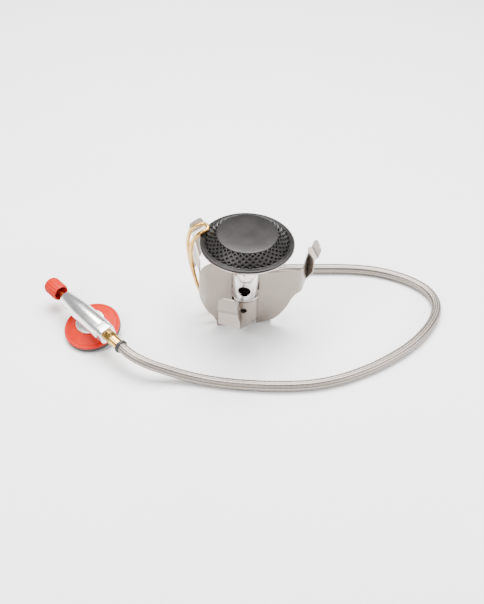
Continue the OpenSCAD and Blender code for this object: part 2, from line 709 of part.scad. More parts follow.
module canister_seal() {
    color("#1d1d1d") valve_place() translate([0, 0, thread_len + seal_ring + seat]) rotate_extrude()
        translate([seal_pocket_r - seal_ring - seat, 0]) circle(r = seal_ring, $fn = 24);
}

// Brass post that opens the canister's valve
module pin_pusher() {
    flange_h = 0.9;
    color("#b98a36") valve_place() translate([0, 0, pocket_z - seat]) mirror([0, 0, 1]) difference() {
        union() {
            cylinder(r = seal_pocket_r - 2 * seal_ring - 0.2, h = flange_h);
            cylinder(r = 1.4, h = pocket_z - thread_len - 2 * seat);
        }
        translate([0, 0, -cut]) cylinder(r = 0.5, h = 8);
    }
}

// Dished: a flat rim with a groove, rising to the collar, with room for the body to cross it
module disc() {
    rim_z = disc_z + disc_t;
    rim_w = 3;
    color("#c8321f") valve_place() difference() {
        rotate_extrude($fn = 96) polygon([
            [boss_r + fit, disc_z + seat], [disc_r, disc_z + seat], [disc_r, rim_z - 0.3],
            [disc_r - 0.3, rim_z], [disc_r - 1.4, rim_z], [disc_r - 1.6, rim_z - 0.4],
            [disc_r - 2.2, rim_z - 0.4], [disc_r - 2.4, rim_z], [disc_r - rim_w, rim_z],
            [collar_r + 0.8, collar_z - seat], [boss_r + fit, collar_z - seat]
        ]);
        along(-disc_r) cylinder(r = body_r + 0.2, h = 2 * disc_r);
    }
}

module disc_pad() {
    color("#1d1d1d") valve_place() difference() {
        translate([0, 0, pad_z]) cylinder(r = disc_r, h = pad_t, $fn = 96);
        translate([0, 0, pad_z - cut]) cylinder(r = boss_r + seat, h = pad_t + 2 * cut);
    }
}

module gland_nut() {
    color("#c9a35c") valve_place() along(-body_left - 1.8) difference() {
        cylinder(r = spindle_thread_r, h = 5);
        translate([0, 0, -cut]) cylinder(r = spindle_r + fit, h = 5 + 2 * cut);
    }
}

module spindle() {
    color("#c9b890") valve_place() difference() {
        union() {
            along(knob_x + 1.6) cylinder(r = spindle_r, h = -9 - knob_x);
            along(5.3 - body_left) cylinder(r = spindle_thread_r - fit, h = body_left - 15.3);
            along(-9) cylinder(r = spindle_r, h = 9);
            along(0) cylinder(r1 = spindle_r, r2 = 0.4, h = 4.6);
        }
        // groove for the seal, and the knob screw's thread
        along(-5) difference() {
            cylinder(r = spindle_r + 1, h = 1.6);
            translate([0, 0, -cut]) cylinder(r = spindle_r - 0.5, h = 1.6 + 2 * cut);
        }
        along(knob_x) cylinder(r = 0.9 + seat, h = 7);
    }
}

module spindle_seal() {
    ring = 0.58;
    color("#1d1d1d") valve_place() along(-4.2) rotate_extrude()
        translate([spindle_r - 0.4 + ring, 0]) circle(r = ring, $fn = 24);
}

module knob() {
    rib_r = 0.55;
    color("#c5301d") valve_place() difference() {
        union() {
            along(knob_x + 0.8) cylinder(r = knob_r - 0.4, h = knob_len - 0.8);
            along(knob_x) cylinder(r1 = knob_r - 1.2, r2 = knob_r - 0.4, h = 0.8);
            for (k = [0:rib_count - 1]) along(knob_x + 1.2) rotate([0, 0, k * 360 / rib_count])
                translate([knob_r - rib_r - 0.05, 0, 0]) cylinder(r = rib_r, h = knob_len - 2, $fn = 16);
        }
        difference() {
            along(knob_x + 3) cylinder(r = knob_r - knob_wall, h = knob_len);
            along(knob_x + 2) cylinder(r = spindle_r + 1.5, h = 6.5);
        }
        along(knob_x + 1.6 - seat) cylinder(r = spindle_r + seat, h = knob_len);
        along(knob_x - cut) cylinder(r = 0.95, h = 4);
        along(knob_x - cut) cylinder(r = 2.4, h = cut + 1);
    }
}

module knob_screw() {
    slot = 0.6;
    color("#8d8880") valve_place() difference() {
        union() {
            along(knob_x) cylinder(r = 2.2, h = 1 - seat);
            along(knob_x) cylinder(r = 0.9, h = 6);
        }
        along(knob_x - cut) translate([-3, -slot / 2, 0]) cube([6, slot, cut + 0.5]);
    }
}

module hose_union() {
    hex_len = 6;
    color("#b98a36") valve_place() difference() {
        union() {
            along(14) cylinder(r = 3 - seat, h = body_right - 14 + 1);
            along(body_right + seat) cylinder(r = union_r, h = hex_len, $fn = 6);
            along(body_right + 1) cylinder(r = hose_r, h = union_len - 1 - seat);
        }
        along(14 - cut) cylinder(r = 1.2, h = union_end);
    }
}

module union_washer() {
    color("#b5713c") valve_place() along(12.6) difference() {
        cylinder(r = 3 - seat, h = 1.4 - seat);
        translate([0, 0, -cut]) cylinder(r = 1.3, h = 2 + 2 * cut);
    }
}

module hose_ring() {
    color("#1d1d1d") valve_place() along(union_end) cylinder(r = ring_r, h = ring_len - seat);
}

burner_cap();
flame_gauze();
burner_cup();
mixer_baffle();
mixer_tube();
jet_holder();
end_plug();
jet();
jet_washer();
jet_filter();
main_bracket();
front_bracket();
bracket_rivets();
preheat_tube();
preheat_nuts();
inlet_block();
inlet_filter();
block_screws();
burner_ferrule();
hose();
hose_ring();
hose_union();
union_washer();
valve_body();
valve_seat();
canister_seal();
pin_pusher();
disc();
disc_pad();
gland_nut();
spindle();
spindle_seal();
knob();
knob_screw();
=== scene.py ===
# %% [markdown]
# # A camping gas burner on a braided hose
# The burner stands on a table with its canister valve beside it. This notebook dresses
# the construction model: it keeps every size and place, and adds the braid, the cap's
# flame lattice, the knob's ribs, rounded edges and the metal finishes.

# %% Load the construction model
import bmesh
import bpy
import json
import math
import numpy as np
from mathutils import Matrix, Quaternion, Vector

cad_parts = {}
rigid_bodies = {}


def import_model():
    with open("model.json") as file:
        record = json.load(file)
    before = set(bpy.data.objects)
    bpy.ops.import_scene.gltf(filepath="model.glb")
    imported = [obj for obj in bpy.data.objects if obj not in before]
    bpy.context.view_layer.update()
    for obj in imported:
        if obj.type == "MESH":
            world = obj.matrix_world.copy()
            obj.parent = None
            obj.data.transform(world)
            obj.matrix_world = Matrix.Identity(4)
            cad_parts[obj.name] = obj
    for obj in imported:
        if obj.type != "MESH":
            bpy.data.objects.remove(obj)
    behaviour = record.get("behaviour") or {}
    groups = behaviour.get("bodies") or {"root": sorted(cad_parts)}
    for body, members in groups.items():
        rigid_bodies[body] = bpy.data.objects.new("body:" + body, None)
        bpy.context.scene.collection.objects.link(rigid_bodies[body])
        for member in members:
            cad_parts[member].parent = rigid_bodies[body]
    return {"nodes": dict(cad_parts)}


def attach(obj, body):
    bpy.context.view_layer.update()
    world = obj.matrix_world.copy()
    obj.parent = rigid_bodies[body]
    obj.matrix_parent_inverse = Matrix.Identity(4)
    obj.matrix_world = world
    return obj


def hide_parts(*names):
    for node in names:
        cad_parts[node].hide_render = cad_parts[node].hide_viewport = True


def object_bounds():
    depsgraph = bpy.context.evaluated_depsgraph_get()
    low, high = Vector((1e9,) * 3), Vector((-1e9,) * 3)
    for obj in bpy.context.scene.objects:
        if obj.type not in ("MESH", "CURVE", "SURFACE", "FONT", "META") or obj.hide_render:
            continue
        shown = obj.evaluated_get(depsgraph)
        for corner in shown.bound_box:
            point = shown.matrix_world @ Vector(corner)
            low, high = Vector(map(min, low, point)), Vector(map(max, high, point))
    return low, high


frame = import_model()
cad_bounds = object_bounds()
MM = 0.001
print("nodes:", len(frame["nodes"]))

# %% [markdown]
# ## Camera
# The burner is looked at from the front and from well above, with the camera turned a
# touch about its own line of sight. A wide lens close by would show the same width, but
# it would stretch the near side. The lens is long, so the round cap stays an even
# ellipse.

# %% Camera
camera_at = Vector((-1.95, -445.65, 436.48)) * MM
aim_at = Vector((-1.95, 22.42, 0)) * MM
camera_data = bpy.data.cameras.new("camera")
camera_data.lens = 53.64
camera_data.sensor_width = 36
camera = bpy.data.objects.new("camera", camera_data)
bpy.context.scene.collection.objects.link(camera)
looking = (aim_at - camera_at).to_track_quat("-Z", "Y")
camera.rotation_mode = "QUATERNION"
camera.rotation_quaternion = looking @ Quaternion((0, 0, 1), math.radians(2))
camera.location = camera_at
bpy.context.scene.camera = camera
print("camera distance:", round((aim_at - camera_at).length, 3), "m")

# %% [markdown]
# ## Small helpers
# A finished piece is a plain mesh whose object sits at the origin, with its place in the
# mesh. Modifiers could stay live, but then what is exported would depend on the exporter.
# They are applied by evaluating the object, so what is exported is exactly what is seen.

# %% Object helpers
def add_object(name, mesh):
    thing = bpy.data.objects.new(name, mesh)
    bpy.context.scene.collection.objects.link(thing)
    return thing


def bake_modifiers(thing):
    view = bpy.context.evaluated_depsgraph_get()
    plain = bpy.data.meshes.new_from_object(thing.evaluated_get(view), depsgraph=view)
    thing.modifiers.clear()
    old = thing.data
    thing.data = plain
    if old.users == 0:
        bpy.data.batch_remove([old])
    return thing


def bevel_edges(thing, width, angle=30):
    bevel = thing.modifiers.new("edge", "BEVEL")
    bevel.width = width * MM
    bevel.segments = 2
    bevel.limit_method = "ANGLE"
    bevel.angle_limit = math.radians(angle)
    return bake_modifiers(thing)


def smooth_faces(mesh, angle):
    mesh.shade_smooth()
    mesh.set_sharp_from_angle(angle=math.radians(angle))


def dress(thing, material, slot, body, *nodes):
    thing.data.materials.clear()
    thing.data.materials.append(material)
    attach(thing, body)
    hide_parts(*nodes)
    print(thing.name, len(thing.data.polygons), "faces on", body)


# %% [markdown]
# ## Node helpers for the finishes
# Each finish is a Principled shader with a few textures on Object coordinates. Written
# out in full, every node would take three or four lines. These helpers add one texture
# each, so that a finish reads as a short list of what it has.

# %% Finish helpers
class Finish:
    """One procedural material, with short names for the nodes that metals need."""

    def __init__(self, name, metallic, roughness):
        self.material = bpy.data.materials.new(name)
        self.material.use_nodes = True
        self.nodes = self.material.node_tree.nodes
        self.links = self.material.node_tree.links
        self.shader = self.nodes["Principled BSDF"]
        self.shader.inputs["Metallic"].default_value = metallic
        self.shader.inputs["Roughness"].default_value = roughness
        self.place = self.nodes.new("ShaderNodeTexCoord").outputs["Object"]
        print("finish:", name)

    def scaled(self, scale):
        mapping = self.nodes.new("ShaderNodeMapping")
        mapping.inputs["Scale"].default_value = scale
        self.links.new(self.place, mapping.inputs["Vector"])
        return mapping.outputs["Vector"]

    def noise(self, scale, detail=3, source=None):
        noise = self.nodes.new("ShaderNodeTexNoise")
        noise.inputs["Scale"].default_value = scale
        noise.inputs["Detail"].default_value = detail
        noise.inputs["Roughness"].default_value = 0.55
        self.links.new(source or self.place, noise.inputs["Vector"])
        return noise.outputs["Fac"]

    def vector_math(self, operation, a, b=None):
        node = self.nodes.new("ShaderNodeVectorMath")
        node.operation = operation
        self.links.new(a, node.inputs[0])
        if b is not None:
            node.inputs[1].default_value = b
        return node.outputs["Value"]

    def math(self, operation, a, b=0.0, clamp=False):
        node = self.nodes.new("ShaderNodeMath")
        node.operation = operation
        node.use_clamp = clamp
        for socket, value in zip(node.inputs, (a, b)):
            if isinstance(value, (int, float)):
                socket.default_value = value
            else:
                self.links.new(value, socket)
        return node.outputs[0]

    def ramp(self, factor, stops):
        ramp = self.nodes.new("ShaderNodeValToRGB")
        steps = ramp.color_ramp.elements
        while len(steps) < len(stops):
            steps.new(0.5)
        for step, (at, colour) in zip(steps, stops):
            step.position = at
            step.color = (*colour, 1)
        self.links.new(factor, ramp.inputs["Fac"])
        return ramp.outputs["Color"]

    def blend(self, factor, first, second):
        mix = self.nodes.new("ShaderNodeMix")
        mix.data_type = "RGBA"
        self.links.new(factor, mix.inputs["Factor"])
        for socket, value in ((mix.inputs[6], first), (mix.inputs[7], second)):
            if isinstance(value, tuple):
                socket.default_value = (*value, 1)
            else:
                self.links.new(value, socket)
        return mix.outputs[2]

    def colour(self, output):
        self.links.new(output, self.shader.inputs["Base Color"])

    def roughness(self, factor, low, high):
        spread = self.nodes.new("ShaderNodeMapRange")
        spread.inputs["To Min"].default_value = low
        spread.inputs["To Max"].default_value = high
        self.links.new(factor, spread.inputs["Value"])
        self.links.new(spread.outputs["Result"], self.shader.inputs["Roughness"])

    def bump(self, height, strength, depth):
        bump = self.nodes.new("ShaderNodeBump")
        bump.inputs["Strength"].default_value = strength
        bump.inputs["Distance"].default_value = depth
        self.links.new(height, bump.inputs["Height"])
        self.links.new(bump.outputs["Normal"], self.shader.inputs["Normal"])


# %% [markdown]
# ## Sheet steel
# The arms are cold-rolled stainless sheet. Rolling leaves a very fine grain, and handling
# leaves soft blotches in the shine. A pattern on a UV map would stretch at each fold.
# Noise in space has no seams, and squeezing its upright axis draws it out into grain.

# %% Sheet steel
def sheet_steel():
    steel = Finish("sheet steel", 0.9, 0.4)
    cloudy = steel.noise(45, 4)
    grain = steel.noise(900, 2, steel.scaled((1, 1, 0.06)))
    base = steel.ramp(cloudy, [(0.3, (0.27, 0.226, 0.193)), (0.7, (0.42, 0.366, 0.322))])
    steel.colour(steel.blend(grain, base, (0.33, 0.284, 0.248)))
    steel.roughness(steel.math("MULTIPLY", cloudy, grain), 0.36, 0.6)
    steel.bump(grain, 0.12, 0.00003)
    return steel.material


SHEET_STEEL = sheet_steel()

# %% [markdown]
# ## Turned metal
# The column, the valve and the brass fittings come off a lathe. The tool leaves faint
# rings square to the axis. They could be cut as real grooves, but they are a hundredth of
# a millimetre deep. So the finish takes one value that grows along the axis, the dot
# product of the place and the axis, and noise on that value alone gives the rings. Inside
# the column, near-black is painted on as shade, and the distance from the burner's axis says where.

# %% Turned metal
VALVE_TURN = math.radians(-46)
VALVE_AXIS = Vector((math.cos(VALVE_TURN), math.sin(VALVE_TURN), 0))
UP = Vector((0, 0, 1))
# Near-black painted shade for the column's bore and the walls of its air holes.
PAINTED_BORE_SHADE = (0.035, 0.028, 0.024)


def turned(name, axis, light, dark, roughness, mark=0.2, shaded_bore_radius=0):
    metal = Finish(name, 1, roughness)
    joined = metal.nodes.new("ShaderNodeCombineXYZ")
    metal.links.new(metal.vector_math("DOT_PRODUCT", metal.place, axis), joined.inputs["X"])
    rings = metal.noise(9000, 2, joined.outputs["Vector"])
    cloudy = metal.noise(60)
    base = metal.ramp(cloudy, [(0.32, dark), (0.62, light)])
    # Painted shade: within the given distance of the axis the colour is near-black, and it fades to the
    # metal over about 1.4 mm further out.
    if shaded_bore_radius:
        fade_per_metre = 700
        from_axis = metal.vector_math("LENGTH", metal.scaled((1, 1, 0)))
        past_bore = metal.math("SUBTRACT", from_axis, shaded_bore_radius)
        base = metal.blend(metal.math("MULTIPLY", past_bore, fade_per_metre, clamp=True), PAINTED_BORE_SHADE, base)
    metal.colour(base)
    metal.roughness(metal.math("MULTIPLY", rings, cloudy), roughness * 0.7, roughness * 1.6)
    metal.bump(rings, mark, 0.00002)
    return metal.material


BRIGHT, DULL = (0.74, 0.71, 0.68), (0.58, 0.55, 0.52)
TURNED_STEEL = turned("turned steel", UP, BRIGHT, DULL, 0.17)
COLUMN_STEEL = turned("column steel", UP, BRIGHT, DULL, 0.17, shaded_bore_radius=0.0063)
# Near-black steel for the baffle, jet and washer inside the column: painted shade, so they look dark
# through the air holes.
SHADE_BLACKENED_STEEL = turned("steel blackened as painted shade", UP, (0.09, 0.075, 0.065), (0.04, 0.034, 0.03), 0.5)
# Darkened steel for the jet holder and end plug: painted shade, because the holder stands in shade under
# the column.
HOLDER_SHADE_STEEL = turned("steel darkened as painted shade", UP, (0.36, 0.335, 0.315), (0.24, 0.225, 0.21), 0.38)
PRESSED_STEEL = turned("pressed steel", UP, (0.58, 0.54, 0.50), (0.44, 0.40, 0.36), 0.3)
VALVE_ALUMINIUM = turned(
    "valve aluminium", VALVE_AXIS, (0.90, 0.885, 0.865), (0.80, 0.785, 0.765), 0.3, mark=0.25
)
VALVE_BRASS = turned("valve brass", VALVE_AXIS, (0.78, 0.50, 0.15), (0.52, 0.30, 0.07), 0.2)
BURNER_BRASS = turned("burner brass", UP, (0.76, 0.50, 0.17), (0.52, 0.31, 0.09), 0.24)
COPPER = turned("copper", UP, (0.66, 0.34, 0.2), (0.5, 0.24, 0.13), 0.3)

# %% [markdown]
# ## Tube brass
# The preheat tube is drawn brass that the flame has heated. It stays golden, with darker
# brown patches. It never sat in a lathe, so it has streaks along it and no rings.

# %% Tube brass
def tube_brass():
    brass = Finish("tube brass", 1, 0.24)
    patches = brass.noise(70)
    streaks = brass.noise(500, 2, brass.scaled((1, 1, 0.1)))
    brass.colour(brass.ramp(patches, [(0.3, (0.46, 0.25, 0.06)), (0.55, (0.80, 0.53, 0.18))]))
    brass.roughness(streaks, 0.16, 0.36)
    brass.bump(streaks, 0.1, 0.00002)
    return brass.material


TUBE_BRASS = tube_brass()

# %% [markdown]
# ## Black anodised cap
# Anodising leaves a dark, slightly brown skin with a soft shine. It is half metal, so it
# is mixed halfway between metal and paint. Such a skin is never quite even, so slow noise
# varies its colour and fine noise its shine.

# %% Black anodised
def black_anodised():
    skin = Finish("black anodised", 0.55, 0.4)
    grain = skin.noise(2500, 2)
    cloudy = skin.noise(80)
    skin.colour(skin.ramp(cloudy, [(0.3, (0.012, 0.0105, 0.010)), (0.7, (0.028, 0.025, 0.024))]))
    skin.roughness(grain, 0.3, 0.5)
    skin.bump(grain, 0.15, 0.00002)
    return skin.material


BLACK_ANODISED = black_anodised()

# %% [markdown]
# ## Red coat
# The knob and the disc share one orange-red coat, which is powder baked onto metal. Its
# surface is very slightly pebbled. A strong reflection would wash the red out, so the
# coat reflects little, and fine noise breaks the shine up.

# %% Red coat
def red_coat():
    coat = Finish("red coat", 0.0, 0.45)
    cloudy = coat.noise(90)
    pebble = coat.noise(1800, 2)
    coat.colour(coat.ramp(cloudy, [(0.3, (0.44, 0.008, 0.001)), (0.7, (0.54, 0.014, 0.002))]))
    coat.roughness(pebble, 0.38, 0.55)
    coat.shader.inputs["Specular IOR Level"].default_value = 0.15
    coat.bump(pebble, 0.12, 0.00003)
    return coat.material


RED_COAT = red_coat()

# %% [markdown]
# ## Rubber
# The pad under the disc, the ring on the hose and the seals are moulded black rubber.
# One flat black would look like a hole, so fine noise varies its dull shine, as the grain
# of a mould does.

# %% Rubber
def rubber():
    black = Finish("black rubber", 0, 0.6)
    grain = black.noise(1500, 2)
    black.colour(black.ramp(grain, [(0.3, (0.010, 0.010, 0.010)), (0.7, (0.022, 0.021, 0.020))]))
    black.roughness(grain, 0.45, 0.7)
    black.bump(grain, 0.2, 0.00004)
    return black.material


RUBBER = rubber()

# %% [markdown]
# ## Woven gauze
# The flame trap and the filters are discs of fine wire cloth. Modelled wires would be
# far too many, and the cloth is hidden unless the burner is taken apart. Two sine waves
# at right angles draw the weave, and the higher one of the two is the wire on top.

# %% Woven gauze
def woven_gauze():
    gauze = Finish("woven gauze", 1, 0.4)
    waves_per_metre = 9000
    weave = [
        gauze.math("SINE", gauze.math(
            "MULTIPLY", gauze.vector_math("DOT_PRODUCT", gauze.place, axis), waves_per_metre))
        for axis in (Vector((1, 0, 0)), Vector((0, 1, 0)))
    ]
    wires = gauze.math("MAXIMUM", weave[0], weave[1])
    gauze.colour(gauze.ramp(wires, [(0.1, (0.05, 0.048, 0.045)), (0.8, (0.5, 0.47, 0.44))]))
    gauze.bump(wires, 0.6, 0.0001)
    return gauze.material


GAUZE = woven_gauze()

# %% [markdown]
# ## Braided hose
# A steel braid covers the gas hose. Its wires run in bundles that lie along the hose as
# ridges, with a fine herringbone across them. Woven wires could be modelled one by one,
# but they would take millions of faces. Here the hose is one curve that a small node tree
# sweeps into a ridged tube. First comes its route: out of the valve, down to the table,
# round in one open loop and up into the block behind the burner.

# %% Hose route, in millimetres
hose_route = [
    (-78.4, -42, 16.1), (-77.7, -42.725, 16.1), (-77, -43.45, 16.1), (-73.4, -46.7, 15.7),
    (-68.8, -49.5, 14.8), (-63.8, -51.5, 13.6), (-59, -52.6, 12.1), (-50, -53.6, 9.2),
    (-40, -54.4, 6.2), (-29.5, -55.6, 4.2), (-19, -57.2, 3.6), (-8.5, -58.5, 3.6),
    (2, -59.2, 3.6), (17, -59.5, 3.6), (33, -58.7, 3.6), (48, -56.4, 3.6), (64, -51.3, 3.6),
    (75, -46, 3.6), (86, -39.8, 3.6), (97, -32.1, 3.6), (108, -23.2, 3.6), (118, -13, 3.6),
    (126.5, -1.5, 3.6), (132.5, 9.5, 3.6), (135.2, 19, 3.6), (135, 27.5, 3.6), (132, 35.5, 3.6),
    (126.3, 42.4, 3.6), (117, 49, 3.6), (105.5, 54, 3.6), (94, 57, 3.6), (82, 58.3, 3.6),
    (70, 58.4, 3.6), (58, 57.8, 3.6), (45, 57, 3.6), (38, 56.6, 3.6), (30.2, 55.6, 4.1),
    (23, 52.6, 5.2), (16.8, 47.8, 6.6), (12, 41.6, 7.9), (9, 34.4, 8.8), (8, 27, 9), (8, 26, 9),
    (8, 25, 9),
]
hose_diameter = 7 * MM


def smooth_path(points, steps):
    """Catmull-Rom points through the given ones, in metres."""
    p = np.array(points, float) * MM
    p = np.vstack([2 * p[0] - p[1], p, 2 * p[-1] - p[-2]])
    path = []
    for a, b, c, d in zip(p, p[1:], p[2:], p[3:]):
        for u in np.arange(steps) / steps:
            path.append(
                0.5 * (2 * b + (c - a) * u + (2 * a - 5 * b + 4 * c - d) * u**2
                       + (3 * b - a - 3 * c + d) * u**3)
            )
    path.append(p[-2])
    return np.array(path)


def path_length(path):
    return float(np.linalg.norm(np.diff(path, axis=0), axis=1).sum())


hose_path = smooth_path(hose_route, 12)
print("hose length:", round(path_length(hose_path), 4), "m")

# %% [markdown]
# ## Node tree helpers
# Geometry Nodes make the hose, the cap's lattice and the knob's ribs. A tree built by
# hand in the editor can't be read in a script, so each one is written here. A node is one
# line, and a sum or product of numbers is one call.

# %% Geometry Nodes helpers
def new_tree(name, inputs):
    """A tree with one geometry input and output, and the named size inputs."""
    tree = bpy.data.node_groups.new(name, "GeometryNodeTree")
    tree.interface.new_socket("Geometry", in_out="INPUT", socket_type="NodeSocketGeometry")
    for label, kind in inputs.items():
        tree.interface.new_socket(label, in_out="INPUT", socket_type="NodeSocket" + kind)
    tree.interface.new_socket("Geometry", in_out="OUTPUT", socket_type="NodeSocketGeometry")
    return tree, tree.nodes.new("NodeGroupInput").outputs


def add_node(tree, kind, settings=None, **inputs):
    """A node with its settings, and each input given as a value or as another's output."""
    node = tree.nodes.new(kind)
    for key, value in (settings or {}).items():
        setattr(node, key, value)
    for key, value in inputs.items():
        socket = node.inputs[int(key[2:]) if key.startswith("at") else key.replace("_", " ")]
        if isinstance(value, bpy.types.NodeSocket):
            tree.links.new(value, socket)
        else:
            socket.default_value = value
    return node


def calc(tree, operation, a, b=0.0, c=0.0):
    return add_node(tree, "ShaderNodeMath", {"operation": operation}, at0=a, at1=b, at2=c).outputs[0]


def finish_tree(tree, geometry, material):
    """Real faces with their material at the tree's end, because the export drops instances."""
    solid = add_node(tree, "GeometryNodeRealizeInstances", Geometry=geometry)
    coat = add_node(tree, "GeometryNodeSetMaterial", Geometry=solid.outputs[0], Material=material)
    tree.links.new(coat.outputs[0], tree.nodes.new("NodeGroupOutput").inputs[0])
    print("tree:", tree.name, len(tree.nodes), "nodes")
    return tree


def run_tree(thing, tree, values):
    modifier = thing.modifiers.new(tree.name, "NODES")
    modifier.node_group = tree
    for socket in tree.interface.items_tree:
        if socket.name in values:
            modifier[socket.identifier] = values[socket.name]


# %% [markdown]
# ## Braid finish
# A pattern in space would slip off the wires wherever the hose bends. So the tree below
# stores two counts on the tube as its UV map: how many ridges round, and how many
# crossings along. A slanted wave over both counts is the herringbone, and its slant turns
# at each ridge, as the wires do. The grooves between ridges are painted dark as shade.

# %% Braid finish
def steel_braid():
    wire = Finish("steel braid", 0.85, 0.4)
    counts = wire.nodes.new("ShaderNodeUVMap")
    counts.uv_map = "UVMap"
    split = wire.nodes.new("ShaderNodeSeparateXYZ")
    wire.links.new(counts.outputs["UV"], split.inputs["Vector"])
    lean = wire.math("PINGPONG", split.outputs["X"], 0.5)
    slanted = wire.math("ADD", split.outputs["Y"], wire.math("MULTIPLY", lean, 1.4))
    herringbone = wire.math("SINE", wire.math("MULTIPLY", slanted, 4 * math.pi))
    ridge = wire.math("MULTIPLY", lean, 2.0)
    # Painted shade: the colour is near-black in the grooves between ridges and lightest on the ridge tops.
    # The herringbone, the weave's own pattern, adds small light and dark steps.
    shade = wire.math("ADD", wire.math("MULTIPLY", herringbone, 0.16), ridge, clamp=True)
    cloudy = wire.noise(55)
    base = wire.ramp(shade, [
        (0.0, (0.05, 0.042, 0.035)), (0.4, (0.23, 0.195, 0.168)), (0.9, (0.46, 0.405, 0.36)),
    ])
    wire.colour(wire.blend(wire.math("MULTIPLY", cloudy, 0.5), base, (0.30, 0.26, 0.225)))
    wire.roughness(cloudy, 0.3, 0.5)
    wire.bump(herringbone, 0.35, 0.00006)
    return wire.material


STEEL_BRAID = steel_braid()

# %% [markdown]
# ## Braided tube
# The tree lays a circle along the curve. A point knows how far along and how far round it
# is, if both are captured before the two curves are joined. From these counts comes how
# far each point is pushed in: not at all on a ridge, and by the ridge depth in a groove,
# with a small wave where the bundles cross. So the tube never gets thicker than its
# radius.

# %% Braid tree
def braid_tree():
    tree, size = new_tree("braided tube", {
        "Radius": "Float", "Ridges": "Int", "Ridge depth": "Float", "Crossing": "Float",
        "Sides": "Int", "Step": "Float", "Material": "Material",
    })

    def captured(curve, name, field):
        held = add_node(tree, "GeometryNodeCaptureAttribute", {"domain": "POINT"}, Geometry=curve)
        held.capture_items.new("FLOAT", name)
        tree.links.new(field, held.inputs[name])
        return held.outputs

    along = add_node(tree, "GeometryNodeSplineParameter").outputs
    line = add_node(tree, "GeometryNodeResampleCurve", {"mode": "LENGTH"},
                    Curve=size["Geometry"], Length=size["Step"])
    line = captured(line.outputs[0], "far", along["Length"])
    circle = add_node(tree, "GeometryNodeCurvePrimitiveCircle",
                      Resolution=size["Sides"], Radius=size["Radius"])
    circle = captured(circle.outputs[0], "round", along["Factor"])
    tube = add_node(tree, "GeometryNodeCurveToMesh", at0=line[0], at1=circle[0], Fill_Caps=True)

    ridges = calc(tree, "MULTIPLY", circle["round"], size["Ridges"])
    pitch = calc(tree, "DIVIDE", line["far"], size["Crossing"])
    swell = calc(tree, "ABSOLUTE", calc(tree, "SINE", calc(tree, "MULTIPLY", ridges, math.pi)))
    shifted = calc(tree, "ADD", pitch, calc(tree, "FLOOR", ridges))
    wave = calc(tree, "SINE", calc(tree, "MULTIPLY", shifted, math.pi))
    ripple = calc(tree, "MULTIPLY", calc(tree, "MULTIPLY", wave, swell), 0.25)
    lift = calc(tree, "ADD", calc(tree, "MULTIPLY", swell, 0.75), ripple)
    sink = calc(tree, "MULTIPLY", calc(tree, "SUBTRACT", lift, 1.0), size["Ridge depth"])
    normal = add_node(tree, "GeometryNodeInputNormal").outputs[0]
    push = add_node(tree, "ShaderNodeVectorMath", {"operation": "SCALE"}, at0=normal, Scale=sink)
    moved = add_node(tree, "GeometryNodeSetPosition", Geometry=tube.outputs[0], Offset=push.outputs[0])

    counts = add_node(tree, "ShaderNodeCombineXYZ", X=ridges, Y=pitch)
    stored = add_node(tree, "GeometryNodeStoreNamedAttribute", {"data_type": "FLOAT2", "domain": "CORNER"},
                      Geometry=moved.outputs[0], Name="UVMap", Value=counts.outputs[0])
    return finish_tree(tree, stored.outputs[0], size["Material"])


BRAID_TREE = braid_tree()

# %% [markdown]
# ## Sweeping a route
# A route becomes a curve with straight pieces between close points, so that it follows
# the construction model exactly. The tree runs on the curve, the evaluated result is kept
# as a plain mesh, and the curve is thrown away.

# %% Sweep helper
def swept(name, path, values):
    curve = bpy.data.curves.new(name, "CURVE")
    curve.dimensions = "3D"
    spline = curve.splines.new("POLY")
    spline.points.add(len(path) - 1)
    for point, place in zip(spline.points, path):
        point.co = (*place, 1)
    line = add_object(name + "_line", curve)
    run_tree(line, BRAID_TREE, values)
    view = bpy.context.evaluated_depsgraph_get()
    mesh = bpy.data.meshes.new_from_object(line.evaluated_get(view), depsgraph=view)
    bpy.data.objects.remove(line)
    mesh.shade_smooth()
    return add_object(name, mesh)


# %% Hose
hose = swept("hose_braid", hose_path, {
    "Radius": hose_diameter / 2, "Ridges": 12, "Ridge depth": 0.28 * MM, "Crossing": 1.7 * MM,
    "Sides": 48, "Step": 0.42 * MM, "Material": STEEL_BRAID,
})
dress(hose, STEEL_BRAID, "braid", "burner", "hose")

# %% [markdown]
# ## Preheat tube
# A thin brass tube carries the gas up past the flame and back down to the jet, so that
# cold liquid gas boils before it burns. It could be a bevelled curve, but the sweep above
# already makes closed ends, so it is the same sweep with no ridges.

# %% Preheat tube
gas_y, inlet_z = 13.67, 9
inlet_turn = math.radians(165)


def from_column(reach):
    return (reach * math.cos(inlet_turn), reach * math.sin(inlet_turn), inlet_z)


holder_inlet, nut_face = from_column(4.5), from_column(14.67)
heat_route = [
    (-13, gas_y, inlet_z), (-19, gas_y, 9.2), (-25, 13.8, 12), (-29.4, 12.8, 18), (-32, 12, 24),
    (-34.8, 12, 33), (-37.3, 12, 45), (-38.5, 12, 56), (-38.6, 12.2, 64), (-37.4, 12.4, 70.2),
    (-34.6, 12, 74.8), (-31.2, 11.8, 76.9), (-27.8, 11.4, 77.7), (-25.4, 8.4, 77.6),
    (-26.6, 5.8, 76.7), (-29.8, 5, 75.4), (-33, 5.2, 71.6), (-35.4, 6.2, 66.4),
    (-36.4, 7.2, 60), (-36.4, 7.6, 53), (-35.6, 7.6, 44), (-33.6, 7.4, 33),
    (-31, 7, 24.4), (-26.6, 6.4, 15), (-20, 5.4, 9.8), nut_face, holder_inlet,
]
heat_path = smooth_path(heat_route, 8)
heat_tube = swept("preheat_brass_tube", heat_path, {
    "Radius": 1.3 * MM, "Ridges": 1, "Ridge depth": 0.0, "Crossing": 1 * MM,
    "Sides": 20, "Step": 0.7 * MM, "Material": TUBE_BRASS,
})
dress(heat_tube, TUBE_BRASS, "brass", "burner", "preheat_tube")
